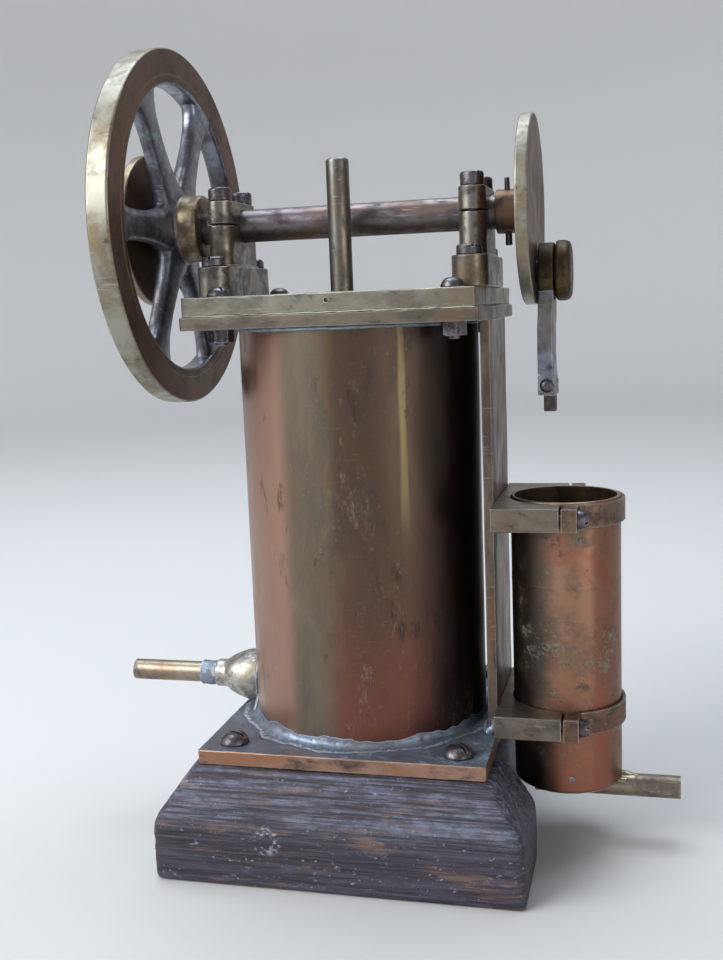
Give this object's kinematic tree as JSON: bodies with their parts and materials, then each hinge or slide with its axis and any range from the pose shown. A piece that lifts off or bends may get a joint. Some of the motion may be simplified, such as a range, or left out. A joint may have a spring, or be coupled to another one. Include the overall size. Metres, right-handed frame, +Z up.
{
  "type": "model steam engine",
  "caption": "Upright brass model engine on a dark wooden plinth, with a spoked flywheel, a crank disc and a small clamped side barrel.",
  "frame": {"origin": "centre of the plinth's underside", "axes": "+Z up, +X along the crankshaft towards the crank disc, -Y towards the front"},
  "size_m": [0.1579, 0.0994, 0.2167],
  "materials": {
    "black_wood": "worn ebonised wood",
    "plate_brass": "tarnished olive brass",
    "tube_brass": "browned brass tube",
    "wheel_brass": "dull cast brass",
    "dark_steel": "darkened steel",
    "shaft_steel": "brown-toned steel",
    "solder": "dull soft solder",
    "gasket_card": "pale gasket card"
  },
  "bodies": {
    "frame": {"barrel_plug": "plate_brass", "base_plate": "plate_brass", "base_screw_front_left": "dark_steel", "base_screw_front_right": "dark_steel", "base_screw_rear_left": "dark_steel", "base_screw_rear_right": "dark_steel", "cap_left": "plate_brass", "cap_right": "plate_brass", "cap_screw_left_front": "dark_steel", "cap_screw_left_rear": "dark_steel", "cap_screw_right_front": "dark_steel", "cap_screw_right_rear": "dark_steel", "clamp_screw_lower_front": "dark_steel", "clamp_screw_lower_rear": "dark_steel", "clamp_screw_upper_front": "dark_steel", "clamp_screw_upper_rear": "dark_steel", "cover_nut_front_left": "dark_steel", "cover_nut_front_right": "dark_steel", "cover_nut_rear_left": "dark_steel", "cover_nut_rear_right": "dark_steel", "cover_plate": "plate_brass", "cover_screw_front_left": "dark_steel", "cover_screw_front_right": "dark_steel", "cover_screw_rear_left": "dark_steel", "cover_screw_rear_right": "dark_steel", "cylinder_solder": "solder", "foot_bolt_left_front": "dark_steel", "foot_bolt_left_rear": "dark_steel", "foot_bolt_right_front": "dark_steel", "foot_bolt_right_rear": "dark_steel", "gasket": "gasket_card", "inlet_boss": "solder", "inlet_tube": "plate_brass", "main_cylinder": "tube_brass", "outlet_tube": "plate_brass", "pedestal_left": "plate_brass", "pedestal_right": "plate_brass", "pump_barrel": "tube_brass", "rod_bush": "dark_steel", "saddle_lower": "plate_brass", "saddle_upper": "plate_brass", "side_strip": "plate_brass", "strap_lower": "plate_brass", "strap_upper": "plate_brass", "strip_solder": "solder", "top_flange": "plate_brass", "wood_base": "black_wood"},
    "shaft": {"crankshaft": "shaft_steel", "flywheel": "wheel_brass", "left_disc": "wheel_brass", "crank_disc": "wheel_brass", "taper_pin": "dark_steel", "crank_pin": "dark_steel", "pin_head": "dark_steel"},
    "link": {"link": "wheel_brass", "link_tongue": "dark_steel", "link_rivet": "dark_steel"},
    "rod": {"piston_rod": "dark_steel", "displacer": "tube_brass", "displacer_nut": "dark_steel"}
  },
  "joints": [
    {"name": "shaft_spin", "type": "hinge", "parent": "frame", "child": "shaft", "pos_m": [0, -0.0033, 0.1691], "axis": [1, 0, 0], "continuous": true},
    {"name": "link_swing", "type": "hinge", "parent": "shaft", "child": "link", "pos_m": [0.0517, -0.0033, 0.1535], "axis": [1, 0, 0], "continuous": true},
    {"name": "rod_slide", "type": "slide", "parent": "frame", "child": "rod", "axis": [0, 0, 1], "range_m": [0, 0.032]}
  ]
}
